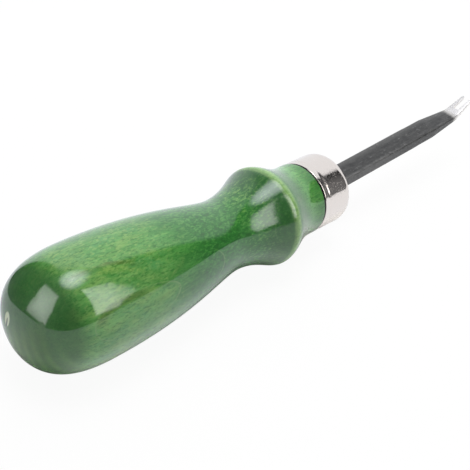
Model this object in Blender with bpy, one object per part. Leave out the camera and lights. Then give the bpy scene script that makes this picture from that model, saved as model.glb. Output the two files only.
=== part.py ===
"""Leather edge beveler: turned hardwood handle, nickel ferrule and a forged, forked steel blade.

The tool lies on its belly and bead with the fork's bend pointing up. Every piece is modelled along the
handle's turning axis, local X, with the tip towards +X and X = 0 at the handle's shoulder. An empty
carries all the pieces and lays them down at the angle at which the tool rests.
"""
import math

import bmesh
import bpy
from mathutils import Matrix, Vector
from mathutils.geometry import interpolate_bezier

# Driving dimensions in metres and degrees

CLEARANCE = 0.0003            # gap between pieces that are pressed, glued or seated on the real tool

# Handle, as a chain of lengths from the butt to the shoulder
BUTT_LENGTH = 0.0173          # pole of the butt to the belly's widest place
GRIP_LENGTH = 0.0428          # belly to waist
BEAD_REAR_LENGTH = 0.0144     # waist to the bead's crest
BEAD_FRONT_LENGTH = 0.0119    # bead's crest to the collar
COLLAR_LENGTH = 0.0022        # straight collar behind the ferrule
BELLY_DIAMETER = 0.0275
WAIST_DIAMETER = 0.0180
BEAD_DIAMETER = 0.0251
COLLAR_STEP = 0.00005         # how far the wood stands proud of the ferrule
COLLAR_EASE = 0.0001          # eased corner of the collar
SEAT_GAP = 0.0006             # open gap that shows between the collar and the ferrule
SPIGOT_CHAMFER = 0.0004       # beyond what clears the ferrule's inner corner

# Fullness of the outline's curves, as shares of the stretch that each end of a curve leans along
BUTT_FULLNESS = (0.70, 0.74)
GRIP_FULLNESS = (0.58, 0.15)
BEAD_REAR_FULLNESS = (0.54, 0.10)
BEAD_FRONT_FULLNESS = (0.19, 0.49)

# Ferrule, a drawn cup over the handle's spigot
FERRULE_DIAMETER = 0.0184
FERRULE_LENGTH = 0.0099
FERRULE_WALL = 0.0008
FERRULE_CORNER = 0.0012       # outside radius of the front corner
LIP_WIDTH = 0.00125           # lip at the rear edge
LIP_STEP = 0.00011            # how far the lip lies below the ferrule's outside
LIP_ROUNDING = 0.00028
FLARE_LENGTH = 0.00105        # cone from the lip up to the ferrule's outside

# Blade, as a chain of lengths from the shoulder to the tip
SHANK_LENGTH = 0.0450
TAPER_LENGTH = 0.0109
BEND_LENGTH = 0.0028
TIP_LENGTH = 0.0064
RISE_LENGTH = 0.0030          # stretch at the shoulder over which the shank turns up
SHANK_WIDTH = 0.0060
SHANK_THICKNESS = 0.00285
SHANK_CORNER = 0.00035        # rounding of the bar's long edges
EASED_CORNER = 0.0005         # the same towards the fork
EASED_LENGTH = 0.0090         # end of the shank over which its edges are eased
EASE_RUN = 0.0030             # stretch over which the rounding grows
SHANK_RISE = 3.9              # degrees between the shank and the handle's axis
TIP_BEND = 21.7               # further degrees of the fork
BLADE_OFFSET = 0.0004         # how far above the handle's axis the blade sits
PRONG_WIDTH = 0.00075
PRONG_THICKNESS = 0.0008
PRONG_CORNER = 0.0002         # rounding of the prongs' long edges
PRONG_ROUNDING = 0.0003       # of the prongs' ends, seen from above
SLOT_WIDTH = 0.0017
SLOT_LENGTH = 0.0051
SLOT_RAKE = 30.0              # degrees by which the slot's root leans back to leave a cutting edge

# Tang, and the adhesive around it
TANG_LENGTH = 0.0340
TANG_SHOULDER = 0.0012        # step from the shank's sides to the tang's
TANG_DROP = 0.0002            # step from the shank's faces to the tang's
TANG_TAPER = 0.6              # the tang's end as a share of its root
TANG_CORNER = 0.0002
ADHESIVE_WALL = 0.0007        # least adhesive between the tang's corners and the bore
DRILL_POINT = 118.0           # degrees, the included angle of the bore's bottom

# Facets, turned by half a step so that one flat of the handle lies straight below the axis
HANDLE_SEGMENTS = 32
FERRULE_SEGMENTS = 48
SLEEVE_SEGMENTS = 24
CURVE_STEPS = 12              # points along each curve of the handle's outline
CORNER_STEPS = 4              # points around each rounded corner
CORNER_LIMIT = 0.42           # most of a side that one rounded corner may take
SMOOTH_ANGLE = math.radians(35)
MERGE_DISTANCE = 1e-7

# Places that follow from the dimensions above
ferrule_radius = FERRULE_DIAMETER / 2
ferrule_bore = ferrule_radius - FERRULE_WALL
ferrule_rear = SEAT_GAP
ferrule_front = ferrule_rear + FERRULE_LENGTH
ferrule_inner_corner = max(FERRULE_CORNER - FERRULE_WALL, 0.0)
spigot_radius = ferrule_bore - CLEARANCE
spigot_front = ferrule_front - FERRULE_WALL - CLEARANCE
spigot_chamfer = SPIGOT_CHAMFER + ferrule_inner_corner
collar_radius = ferrule_radius + COLLAR_STEP
blade_shoulder = ferrule_front + CLEARANCE
blade_length = SHANK_LENGTH + TAPER_LENGTH + BEND_LENGTH + TIP_LENGTH
tang_width = SHANK_WIDTH - 2 * TANG_SHOULDER
tang_thickness = SHANK_THICKNESS - 2 * TANG_DROP
tang_end = blade_shoulder - TANG_LENGTH
ease_start = SHANK_LENGTH - EASED_LENGTH
fork_width = 2 * PRONG_WIDTH + SLOT_WIDTH
prong_rounding = min(PRONG_ROUNDING, CORNER_LIMIT * PRONG_WIDTH)
tang_reach = math.hypot(tang_width / 2, tang_thickness / 2 + BLADE_OFFSET)
sleeve_radius = tang_reach + CLEARANCE + ADHESIVE_WALL
bore_radius = sleeve_radius + CLEARANCE
sleeve_floor = tang_end - CLEARANCE - ADHESIVE_WALL
bore_floor = sleeve_floor - CLEARANCE


def clear_scene():
    for obj in list(bpy.data.objects):
        bpy.data.objects.remove(obj, do_unlink=True)


def principled(name, colour, roughness, metallic):
    material = bpy.data.materials.new(name)
    material.use_nodes = True
    shader = material.node_tree.nodes["Principled BSDF"]
    shader.inputs["Base Color"].default_value = (*colour, 1.0)
    shader.inputs["Roughness"].default_value = roughness
    shader.inputs["Metallic"].default_value = metallic
    return material


def add_object(name, bm, parent, material=None):
    """Turn a bmesh into a smooth-shaded object that the carrying empty holds."""
    bmesh.ops.recalc_face_normals(bm, faces=bm.faces)
    mesh = bpy.data.meshes.new(name)
    bm.to_mesh(mesh)
    bm.free()
    mesh.shade_smooth()
    mesh.set_sharp_from_angle(angle=SMOOTH_ANGLE)
    if material:
        mesh.materials.append(material)
    obj = bpy.data.objects.new(name, mesh)
    bpy.context.collection.objects.link(obj)
    obj.parent = parent
    return obj


def cut(target, cutter):
    """Subtract a cutter, which stays in the file as a guide."""
    cutter.hide_render = True
    cutter.display_type = "WIRE"
    modifier = target.modifiers.new(cutter.name, "BOOLEAN")
    modifier.operation = "DIFFERENCE"
    modifier.solver = "EXACT"
    modifier.object = cutter


def arc(centre, radius, start, end, steps):
    """Points of an arc in the (x, radius) half plane, angles in degrees from the +X direction."""
    points = []
    for index in range(steps + 1):
        angle = math.radians(start + (end - start) * index / steps)
        points.append((centre[0] + radius * math.cos(angle), centre[1] + radius * math.sin(angle)))
    return points


def turned(profile, segments):
    """Spin a profile of (x, radius) points about X, with a flat centred straight below the axis.

    The flats touch the true circle, so a diameter is measured across flats.
    """
    bm = bmesh.new()
    half_step = math.pi / segments
    lowest_flat = Matrix.Rotation(half_step, 4, "X")
    corner = 1 / math.cos(half_step)
    verts = [bm.verts.new(lowest_flat @ Vector((x, 0.0, -radius * corner))) for x, radius in profile]
    edges = [bm.edges.new(pair) for pair in zip(verts, verts[1:])]
    bmesh.ops.spin(bm, geom=verts + edges, cent=(0, 0, 0), axis=(1, 0, 0), angle=2 * math.pi,
                   steps=segments, use_merge=True)
    bmesh.ops.remove_doubles(bm, verts=bm.verts, dist=MERGE_DISTANCE)
    return bm


def curve(start, lean_out, lean_in, end):
    """One Bezier stretch of the outline, without its last point."""
    knots = [Vector((*point, 0.0)) for point in (start, lean_out, lean_in, end)]
    points = interpolate_bezier(*knots, CURVE_STEPS + 1)
    return [(point.x, max(point.y, 0.0)) for point in points[:-1]]


def level_curve(start, end, fullness):
    """A stretch that leaves and arrives parallel to the axis."""
    length = end[0] - start[0]
    lean_out = (start[0] + fullness[0] * length, start[1])
    lean_in = (end[0] - fullness[1] * length, end[1])
    return curve(start, lean_out, lean_in, end)


def handle_outline():
    """The turned outside, from the butt's pole to the shoulder's edge."""
    collar = (-COLLAR_LENGTH, collar_radius)
    bead = (collar[0] - BEAD_FRONT_LENGTH, BEAD_DIAMETER / 2)
    waist = (bead[0] - BEAD_REAR_LENGTH, WAIST_DIAMETER / 2)
    belly = (waist[0] - GRIP_LENGTH, BELLY_DIAMETER / 2)
    pole = (belly[0] - BUTT_LENGTH, 0.0)
    butt = curve(pole, (pole[0], BUTT_FULLNESS[0] * belly[1]),
                 (belly[0] - BUTT_FULLNESS[1] * BUTT_LENGTH, belly[1]), belly)
    return (butt
            + level_curve(belly, waist, GRIP_FULLNESS)
            + level_curve(waist, bead, BEAD_REAR_FULLNESS)
            + level_curve(bead, collar, BEAD_FRONT_FULLNESS)
            + [collar]
            + arc((-COLLAR_EASE, collar_radius - COLLAR_EASE), COLLAR_EASE, 90, 0, CORNER_STEPS))


def make_handle(parent):
    drill_tip = bore_floor - bore_radius / math.tan(math.radians(DRILL_POINT / 2))
    inside = [
        (0.0, spigot_radius),
        (spigot_front - spigot_chamfer, spigot_radius),
        (spigot_front, spigot_radius - spigot_chamfer),
        (spigot_front, bore_radius),
        (bore_floor, bore_radius),
        (drill_tip, 0.0),
    ]
    wood = principled("green_stained_wood", (0.045, 0.20, 0.045), 0.22, 0.0)
    return add_object("handle", turned(handle_outline() + inside, HANDLE_SEGMENTS), parent, wood)


def make_ferrule(parent):
    lip = min(LIP_ROUNDING, CORNER_LIMIT * (FERRULE_WALL - LIP_STEP), LIP_WIDTH)
    lip_radius = ferrule_radius - LIP_STEP
    lip_front = ferrule_rear + LIP_WIDTH
    corner = (ferrule_front - FERRULE_CORNER, ferrule_radius - FERRULE_CORNER)
    inside_front = ferrule_front - FERRULE_WALL
    inner_corner = (inside_front - ferrule_inner_corner, ferrule_bore - ferrule_inner_corner)
    profile = [(inside_front, 0.0)]
    profile += arc(inner_corner, ferrule_inner_corner, 0, 90, CORNER_STEPS)
    profile += [(ferrule_rear, ferrule_bore)]
    profile += arc((ferrule_rear + lip, lip_radius - lip), lip, 180, 90, CORNER_STEPS)
    profile += [(lip_front, lip_radius), (lip_front + FLARE_LENGTH, ferrule_radius)]
    profile += arc(corner, FERRULE_CORNER, 90, 0, CORNER_STEPS)
    profile += [(ferrule_front, 0.0)]
    nickel = principled("nickel_plate", (0.70, 0.66, 0.63), 0.16, 1.0)
    return add_object("ferrule", turned(profile, FERRULE_SEGMENTS), parent, nickel)


def smooth(share):
    """Ease from 0 to 1."""
    share = min(max(share, 0.0), 1.0)
    return share * share * (3 - 2 * share)


def blade_stations():
    """Distances from the shoulder at which the blade has a section: closer together where it bends."""
    bend_start = SHANK_LENGTH + TAPER_LENGTH
    tip_start = bend_start + BEND_LENGTH
    round_start = blade_length - prong_rounding
    stretches = [
        (0.0, RISE_LENGTH, 4),
        (RISE_LENGTH, ease_start, 3),
        (ease_start, ease_start + EASE_RUN, 4),
        (ease_start + EASE_RUN, SHANK_LENGTH, 2),
        (SHANK_LENGTH, bend_start, 6),
        (bend_start, tip_start, 8),
        (tip_start, round_start, 3),
    ]
    stations = [0.0]
    for start, end, steps in stretches:
        stations += [start + (end - start) * index / steps for index in range(1, steps + 1)]
    for index in range(1, CORNER_STEPS + 1):
        stations.append(round_start + prong_rounding * math.sin(math.pi / 2 * index / CORNER_STEPS))
    return stations


def blade_angle(distance):
    """Upward lean of the blade, in radians."""
    bend_start = SHANK_LENGTH + TAPER_LENGTH
    rise = SHANK_RISE * smooth(distance / RISE_LENGTH)
    bend = TIP_BEND * smooth((distance - bend_start) / BEND_LENGTH)
    return math.radians(rise + bend)


def blade_path(stations):
    """Centre of each station, with its lean."""
    place = Vector((blade_shoulder, 0.0, BLADE_OFFSET))
    path = [(place.copy(), blade_angle(stations[0]))]
    for start, end in zip(stations, stations[1:]):
        middle = blade_angle((start + end) / 2)
        place = place + (end - start) * Vector((math.cos(middle), 0.0, math.sin(middle)))
        path.append((place.copy(), blade_angle(end)))
    return path


def blade_section(distance):
    """Width, thickness and edge rounding of the blade at a distance from its shoulder."""
    share = max(distance - SHANK_LENGTH, 0.0) / (blade_length - SHANK_LENGTH)
    width = SHANK_WIDTH + (fork_width - SHANK_WIDTH) * share
    thickness = SHANK_THICKNESS + (PRONG_THICKNESS - SHANK_THICKNESS) * share
    past = max(distance - (blade_length - prong_rounding), 0.0) / prong_rounding
    width -= 2 * prong_rounding * (1 - math.sqrt(max(1 - past * past, 0.0)))
    eased = smooth((distance - ease_start) / EASE_RUN)
    rounding = SHANK_CORNER + (EASED_CORNER - SHANK_CORNER) * eased
    return width, thickness, rounding + (PRONG_CORNER - rounding) * share


def section_ring(bm, place, lean, width, thickness, corner):
    """A rounded rectangle across the blade, as one loop of vertices."""
    radius = min(corner, CORNER_LIMIT * thickness, CORNER_LIMIT * width)
    up = Vector((-math.sin(lean), 0.0, math.cos(lean)))
    side = Vector((0.0, 1.0, 0.0))
    ring = []
    for quarter, (y_sign, z_sign) in enumerate(((1, 1), (-1, 1), (-1, -1), (1, -1))):
        for index in range(CORNER_STEPS + 1):
            angle = math.pi / 2 * (quarter + index / CORNER_STEPS)
            y = y_sign * (width / 2 - radius) + radius * math.cos(angle)
            z = z_sign * (thickness / 2 - radius) + radius * math.sin(angle)
            ring.append(bm.verts.new(place + side * y + up * z))
    return ring


def skin(bm, rings):
    """Close a row of rings into one body."""
    for ring, following in zip(rings, rings[1:]):
        for index in range(len(ring)):
            after = (index + 1) % len(ring)
            bm.faces.new((ring[index], ring[after], following[after], following[index]))
    bm.faces.new(rings[0])
    bm.faces.new(rings[-1])


def tang_rings(bm, ends, growth):
    """Sections of the tapered tang at two places on the axis, grown on all sides by a clearance."""
    rings = []
    for x in ends:
        share = 1 - (1 - TANG_TAPER) * (blade_shoulder - x) / TANG_LENGTH
        width = tang_width * share + 2 * growth
        thickness = tang_thickness * share + 2 * growth
        place = Vector((x, 0.0, BLADE_OFFSET))
        rings.append(section_ring(bm, place, 0.0, width, thickness, TANG_CORNER))
    return rings


def slot_cutter(parent, tip_place, tip_lean):
    """A round-rooted slot with an eased mouth, through the fork, leaning back at its root."""
    half = SLOT_WIDTH / 2
    ease = prong_rounding
    root = arc((half - SLOT_LENGTH, 0.0), half, 90, 270, 2 * CORNER_STEPS)
    mouth = arc((-ease, half + ease), ease, 270, 360, CORNER_STEPS)
    mouth.append((PRONG_WIDTH, half + ease))
    outline = root + [(x, -y) for x, y in mouth] + mouth[::-1]
    reach = 2 * SHANK_THICKNESS
    lean_back = reach * math.tan(math.radians(SLOT_RAKE))
    bm = bmesh.new()
    frame = Matrix.Translation(tip_place) @ Matrix.Rotation(-tip_lean, 4, "Y")
    loops = []
    for side in (-1, 1):
        loop = []
        for x, y in outline:
            shift = side * lean_back if x < -SLOT_LENGTH / 2 else 0.0
            loop.append(bm.verts.new(frame @ Vector((x - shift, y, side * reach))))
        loops.append(loop)
    skin(bm, loops)
    return add_object("slot_cutter", bm, parent)


def make_blade(parent):
    stations = blade_stations()
    path = blade_path(stations)
    bm = bmesh.new()
    rings = tang_rings(bm, (tang_end, blade_shoulder), 0.0)
    for distance, (place, lean) in zip(stations, path):
        rings.append(section_ring(bm, place, lean, *blade_section(distance)))
    skin(bm, rings)
    steel = principled("black_oxide_steel", (0.05, 0.05, 0.055), 0.42, 0.6)
    blade = add_object("blade", bm, parent, steel)
    cut(blade, slot_cutter(parent, *path[-1]))
    return blade


def tang_cutter(parent):
    """Room for the tang: its shape grown by the clearance, run on past the ferrule's face."""
    bm = bmesh.new()
    ends = (tang_end - CLEARANCE, blade_shoulder + FERRULE_WALL)
    skin(bm, tang_rings(bm, ends, CLEARANCE))
    return add_object("tang_cutter", bm, parent)


def make_adhesive(parent):
    profile = [
        (sleeve_floor, 0.0),
        (sleeve_floor, sleeve_radius),
        (spigot_front, sleeve_radius),
        (spigot_front, 0.0),
    ]
    resin = principled("cured_adhesive", (0.55, 0.42, 0.20), 0.4, 0.0)
    return add_object("tang_adhesive", turned(profile, SLEEVE_SEGMENTS), parent, resin)


def lay_down(carrier, pieces):
    """Tilt the tool onto its belly and bead, and centre its box on the origin."""
    rest_length = GRIP_LENGTH + BEAD_REAR_LENGTH
    carrier.rotation_euler.y = math.atan2((BELLY_DIAMETER - BEAD_DIAMETER) / 2, rest_length)
    bpy.context.view_layer.update()
    depsgraph = bpy.context.evaluated_depsgraph_get()
    points = []
    for piece in pieces:
        evaluated = piece.evaluated_get(depsgraph)
        points += [evaluated.matrix_world @ vert.co for vert in evaluated.data.vertices]
    low = Vector([min(point[axis] for point in points) for axis in range(3)])
    high = Vector([max(point[axis] for point in points) for axis in range(3)])
    carrier.location = (-(low.x + high.x) / 2, -(low.y + high.y) / 2, -low.z)
    bpy.context.view_layer.update()


def main():
    clear_scene()
    carrier = bpy.data.objects.new("turning_axis", None)
    bpy.context.collection.objects.link(carrier)
    handle = make_handle(carrier)
    ferrule = make_ferrule(carrier)
    blade = make_blade(carrier)
    adhesive = make_adhesive(carrier)
    tang_room = tang_cutter(carrier)
    cut(ferrule, tang_room)
    cut(adhesive, tang_room)
    lay_down(carrier, (handle, ferrule, blade, adhesive))


main()
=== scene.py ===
"""Leather edge beveler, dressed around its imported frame: stained handle, plated ferrule, forked blade.

The pieces repeat the part's own dimensions at a finer resolution. They are modelled along the handle's
turning axis, local X, with the tip towards +X and X = 0 at the handle's shoulder, and laid where the
frame's own pieces lie.
"""

import math

import bmesh
import bpy
from mathutils import Euler, Matrix, Vector
from mathutils.geometry import interpolate_bezier


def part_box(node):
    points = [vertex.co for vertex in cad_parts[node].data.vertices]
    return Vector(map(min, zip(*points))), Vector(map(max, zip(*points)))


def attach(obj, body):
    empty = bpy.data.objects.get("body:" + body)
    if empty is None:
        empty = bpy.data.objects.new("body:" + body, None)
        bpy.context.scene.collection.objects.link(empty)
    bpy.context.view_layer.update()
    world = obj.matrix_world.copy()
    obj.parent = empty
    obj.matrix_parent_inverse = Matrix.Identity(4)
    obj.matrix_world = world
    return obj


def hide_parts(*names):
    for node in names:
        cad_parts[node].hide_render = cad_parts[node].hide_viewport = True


# Dimensions of the part, in metres and degrees

CLEARANCE = 0.0003

BUTT_LENGTH = 0.0173
GRIP_LENGTH = 0.0428
BEAD_REAR_LENGTH = 0.0144
BEAD_FRONT_LENGTH = 0.0119
COLLAR_LENGTH = 0.0022
BELLY_DIAMETER = 0.0275
WAIST_DIAMETER = 0.0180
BEAD_DIAMETER = 0.0251
COLLAR_STEP = 0.00005
COLLAR_EASE = 0.0001
SEAT_GAP = 0.0006
SPIGOT_CHAMFER = 0.0004
BUTT_FULLNESS = (0.70, 0.74)
GRIP_FULLNESS = (0.58, 0.15)
BEAD_REAR_FULLNESS = (0.54, 0.10)
BEAD_FRONT_FULLNESS = (0.19, 0.49)

FERRULE_DIAMETER = 0.0184
FERRULE_LENGTH = 0.0099
FERRULE_WALL = 0.0008
FERRULE_CORNER = 0.0012
LIP_WIDTH = 0.00125
LIP_STEP = 0.00011
LIP_ROUNDING = 0.00028
FLARE_LENGTH = 0.00105

SHANK_LENGTH = 0.0450
TAPER_LENGTH = 0.0109
BEND_LENGTH = 0.0028
TIP_LENGTH = 0.0064
RISE_LENGTH = 0.0030
SHANK_WIDTH = 0.0060
SHANK_THICKNESS = 0.00285
SHANK_CORNER = 0.00035
EASED_CORNER = 0.0005
EASED_LENGTH = 0.0090
EASE_RUN = 0.0030
SHANK_RISE = 3.9
TIP_BEND = 21.7
BLADE_OFFSET = 0.0004
PRONG_WIDTH = 0.00075
PRONG_THICKNESS = 0.0008
PRONG_CORNER = 0.0002
PRONG_ROUNDING = 0.0003
SLOT_WIDTH = 0.0017
SLOT_LENGTH = 0.0051
SLOT_RAKE = 30.0
TANG_LENGTH = 0.0340
TANG_SHOULDER = 0.0012
TANG_DROP = 0.0002
TANG_TAPER = 0.6
TANG_CORNER = 0.0002
ADHESIVE_WALL = 0.0007
DRILL_POINT = 118.0

# Finer shape than the part's solids have

CORNER_RUN = 0.0019           # length along the axis of the ferrule's drawn front corner
CORNER_DROP = 0.0010          # and its depth
CROWN = 0.03                  # share of its thickness by which the shank thins towards its edges
CHIP_PLACE = (0.0042, 0.0004) # y and z of a chip in the butt's lacquer
CHIP_SIZE = (0.0010, 0.0020)  # its half width and half height
CRACK_PLACE = (0.0042, -0.0005)
CRACK_SIZE = (0.00025, 0.0014)
CHIP_DEPTH = 0.00006

# Resolution

HANDLE_SEGMENTS = 192
FERRULE_SEGMENTS = 192
BUTT_STEPS = 80
CURVE_STEPS = 40
CORNER_STEPS = 8
FLARE_STEPS = 10
FACE_STEPS = 8
CORNER_LIMIT = 0.42
HOLD = 0.00003                # distance from a corner at which its shading ends
SMOOTH_ANGLE = math.radians(40)
MERGE_DISTANCE = 1e-7

# Wood

RING_NORMAL = (0.0, -0.934, 0.358)
RING_SPACING = 0.0026
RING_START = 0.01324          # height along the normal of the ring that shows on the belly
RING_WANDER = 0.0006          # how far a ring strays from its plane
LAYER_LEAN = 63.0             # rings per metre by which the layers of the belly's top lean
LAYER_STRAY = 0.22            # rings by which those layers stray

# Layers: height in rings, distance from it at which the layer begins, and at which it is full

LATE_LAYER = (-1.62, 0.22, 0.05)
PALE_LAYER = (-1.25, 0.28, 0.08)
OLIVE_LAYER = (0.11, 0.12, 0.03)
END_LAYER = (0.55, 0.40, 0.05)

# Zones: place along the axis, distance from it at which the zone begins, and at which it is full

THIN_ZONE = (-0.0685, 0.019, 0.009)        # the belly, where the stain lies thin
THICK_ZONE = (-0.029, 0.024, 0.013)        # the waist, where it lies thick
COVE_ZONE = (-0.0085, 0.0085, 0.003)       # the cove, where it is thin again
BEAD_ZONE = (-0.0175, 0.007, 0.003)        # behind the bead's crest, where it is dark again
SHOULDER_ZONE = (-0.0768, 0.0055, 0.0015)  # the butt's shoulder, where it is palest
SHOULDER_SPREAD = (-0.001, 0.006, 0.0015)  # the same zone across the axis
LAYER_ZONE = (-0.073, 0.013, 0.006)        # where the leaning layers show
OLIVE_ZONE = (-0.073, 0.011, 0.006)        # where the wood beside the ring line is olive
FIGURE_ZONE = (-0.023, 0.007, 0.003)       # behind the bead, where the rays show most
UNEVEN_ZONE = (-0.020, 0.010, 0.004)       # where the grain shows through the lacquer most
CREST_REACH = (0.0015, 0.0009)             # the rubbed line, with its painted highlight, on either side of the bead's crest
SEAM_STAIN_AND_SHADE_REACH = (-0.00028, -0.00012)           # places between which the seam's stain and painted shade begin

BODY_STAIN = ((0.016, 0.136, 0.014), (0.064, 0.285, 0.041))
THICK_STAIN = ((0.001, 0.050, 0.003), (0.008, 0.205, 0.017))
THIN_STAIN = ((0.055, 0.245, 0.030), (0.165, 0.400, 0.095))
COVE_STAIN = ((0.085, 0.310, 0.055), (0.175, 0.450, 0.120))
END_STAIN = ((0.010, 0.076, 0.009), (0.060, 0.165, 0.028))
BEAD_STAIN = (0.003, 0.062, 0.005)
YELLOW_STAIN = (0.230, 0.400, 0.090)
BLUE_STAIN = (0.060, 0.270, 0.075)
PALE_STAIN = (0.320, 0.470, 0.200)
# the bead crest's rubbed stain and its painted highlight
RUBBED_STAIN_AND_HIGHLIGHT = (0.270, 0.460, 0.150)
LATE_WOOD = (0.056, 0.110, 0.009)
PALE_WOOD = (0.210, 0.350, 0.060)
OLIVE_WOOD = (0.070, 0.120, 0.012)
RING_LINE = (0.19, 0.34, 0.11)
RAY = (0.215, 0.390, 0.095)
PORE = (0.008, 0.105, 0.010)
# stain and painted shade in the seam at the ferrule
SEAM_STAIN_AND_SHADE = (0.006, 0.014, 0.006)
BARE_WOOD = (0.50, 0.58, 0.36)
CRACK = (0.02, 0.04, 0.02)

# Metal and resin

NICKEL = ((0.81, 0.735, 0.670), (0.78, 0.715, 0.655))
# the lip's rear, darkened by stain and by painted shade of the gap
LIP_STAIN_AND_SHADE = (0.010, 0.016, 0.010)
LIP_STAIN_AND_SHADE_REACH = (0.00015, 0.00003)  # distances from the lip's rear at which the stain and painted shade begin and are full
BLACK_OXIDE = ((0.0, 0.0, 0.0), (0.036, 0.036, 0.035))
# the shank's edges: worn oxide, lightened by a painted sheen for their reflections
FAR_WEAR_AND_SHEEN = (0.085, 0.085, 0.084)
NEAR_WEAR_AND_SHEEN = (0.105, 0.105, 0.103)
SCRATCHED = (0.10, 0.10, 0.098)
SPECKED = (0.14, 0.14, 0.138)
BRIGHT_STEEL = ((0.76, 0.73, 0.705), (0.82, 0.795, 0.77))
FAR_EDGE = (0.0008, 0.0029)           # across the shank, where the wear and its painted sheen begin and are full
NEAR_EDGE = (-0.0019, -0.0029)
NEAR_FADE = (0.030, 0.044)            # along the axis, where the near edge's wear and painted sheen start to fade and are least
GROUND_START = (0.0660, 0.0693)       # along the axis, where the bright grinding begins and is full
GROUND_RAGGED = 0.0010
RESIN = ((0.42, 0.28, 0.10), (0.62, 0.46, 0.22))

# Camera and studio

CAMERA_PLACE = (-0.2149, -0.1352, 0.16505)  # along the tool's own axes
CAMERA_TURN = (53.8006, -11.0715, -46.9061)
CAMERA_LENS = 91.915
STUDIO_MIDDLE = -0.078        # place on the axis that the lamps surround
STUDIO_ROLL = -15.0           # degrees about the tool by which the studio leans towards the back
AMBIENT = 0.30                # share of the white surroundings that lights the object
CARD_DISTANCE = 0.55
SOFTBOX_FADE = 0.11           # share of its reach over which a softbox fades, in and out of its rim
DISC_DISTANCE = 1.2
ROOM_DISTANCE = 3.0
ROOM_RADIANCE = 0.16
ROOM_SHADE = 0.04             # its radiance beside the white backdrop
BACKDROP_MIDDLE = 26.5        # azimuth of the white backdrop's middle
BACKDROP_REACH = 48.0         # degrees to either side of it
BACKDROP_TOP = 73.0           # elevation of its upper edge
COOL_WHITE = (0.96, 0.99, 1.05)
ROOM_COLUMNS = 90
ROOM_ROWS = 16
ROOM_TOP = 89.5
TABLE_EDGE = -5.8             # mean elevation of the table's edge, where the room begins
TABLE_DIP = 2.2               # how far the edge rises and falls around it
TABLE_LOW = 160.0             # azimuth at which it is lowest
ROOM_SIDE = (53.0, 66.0)      # degrees from the backdrop's middle between which the room brightens
FLOOR_RADIUS = 4.0
FLOOR_SEGMENTS = 96
FLOOR_PALE = (0.86, 0.86, 0.86, 1.0)
FLOOR_FADE = (0.15, 0.9)      # distances between which the floor runs into white
FLOOR_WHITE = 0.94            # share of plain white near the tool, the rest keeps its shadow
SHADED_STRIP = (0.0055, 0.019)  # distances beside the tool between which reflections lose the floor
DISC_SEGMENTS = 64
DISC_CORE = 0.4               # share of the round lamp's radius that its core takes
SENSOR_WIDTH = 36.0
CLIP_START = 0.01

# Softboxes: azimuth, elevation and the share of the radiance that is left at each corner

LEFT_SOFTBOX = ((151, 66, 0.55), (-136, 56, 0.65), (-155, 26, 0.65), (-176, -5, 0.6),
                (164, -4, 0.5), (148, -2, 0.45), (158, 33, 0.45))
RIGHT_SOFTBOX = ((-74, 53, 0.8), (-46, 36, 0.5), (-50, 9, 0.5), (-57, 0, 0.6), (-77, 5, 0.8))

# Places that follow from the dimensions

ferrule_radius = FERRULE_DIAMETER / 2
ferrule_bore = ferrule_radius - FERRULE_WALL
ferrule_rear = SEAT_GAP
ferrule_front = ferrule_rear + FERRULE_LENGTH
ferrule_inner_corner = FERRULE_CORNER - FERRULE_WALL
spigot_radius = ferrule_bore - CLEARANCE
spigot_front = ferrule_front - FERRULE_WALL - CLEARANCE
spigot_chamfer = SPIGOT_CHAMFER + ferrule_inner_corner
collar_radius = ferrule_radius + COLLAR_STEP
blade_shoulder = ferrule_front + CLEARANCE
blade_length = SHANK_LENGTH + TAPER_LENGTH + BEND_LENGTH + TIP_LENGTH
tang_width = SHANK_WIDTH - 2 * TANG_SHOULDER
tang_thickness = SHANK_THICKNESS - 2 * TANG_DROP
tang_end = blade_shoulder - TANG_LENGTH
fork_width = 2 * PRONG_WIDTH + SLOT_WIDTH
ease_start = SHANK_LENGTH - EASED_LENGTH
tang_reach = math.hypot(tang_width / 2, tang_thickness / 2 + BLADE_OFFSET)
sleeve_radius = tang_reach + CLEARANCE + ADHESIVE_WALL
bore_radius = sleeve_radius + CLEARANCE
bore_floor = tang_end - ADHESIVE_WALL - 2 * CLEARANCE
collar_rear = -COLLAR_LENGTH
bead_place = collar_rear - BEAD_FRONT_LENGTH
waist_place = bead_place - BEAD_REAR_LENGTH
belly_place = waist_place - GRIP_LENGTH
butt_pole = belly_place - BUTT_LENGTH


# Mesh


def mesh_object(name, bm):
    """Turn a bmesh given along the turning axis into an object where the tool lies."""
    bmesh.ops.recalc_face_normals(bm, faces=bm.faces)
    mesh = bpy.data.meshes.new(name)
    bm.to_mesh(mesh)
    bm.free()
    mesh.transform(tool)
    piece = bpy.data.objects.new(name, mesh)
    bpy.context.collection.objects.link(piece)
    return piece


def shade(piece):
    piece.data.shade_smooth()
    piece.data.set_sharp_from_angle(angle=SMOOTH_ANGLE)


def add_piece(name, bm, node, material):
    """A piece of the visual model that stands for a node of the frame."""
    piece = mesh_object(name, bm)
    piece.data.materials.append(material)
    shade(piece)
    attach(piece, "root")
    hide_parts(node)
    return piece


def smooth(share):
    """Ease from 0 to 1."""
    share = min(max(share, 0.0), 1.0)
    return share * share * (3 - 2 * share)


def arc(centre, radius, start, end, steps):
    """Points of an arc in the (x, radius) half plane, angles in degrees from the +X direction."""
    points = []
    for index in range(steps + 1):
        angle = math.radians(start + (end - start) * index / steps)
        points.append((centre[0] + radius * math.cos(angle), centre[1] + radius * math.sin(angle)))
    return points


def held(profile):
    """Add points close to the ends of long runs, so that a corner's shading stays at the corner."""
    points = profile[:1]
    for start, end in zip(profile, profile[1:]):
        length = math.dist(start, end)
        if length > 4 * HOLD:
            for share in (HOLD / length, 1 - HOLD / length):
                points.append(tuple(a + share * (b - a) for a, b in zip(start, end)))
        points.append(end)
    return points


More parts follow.
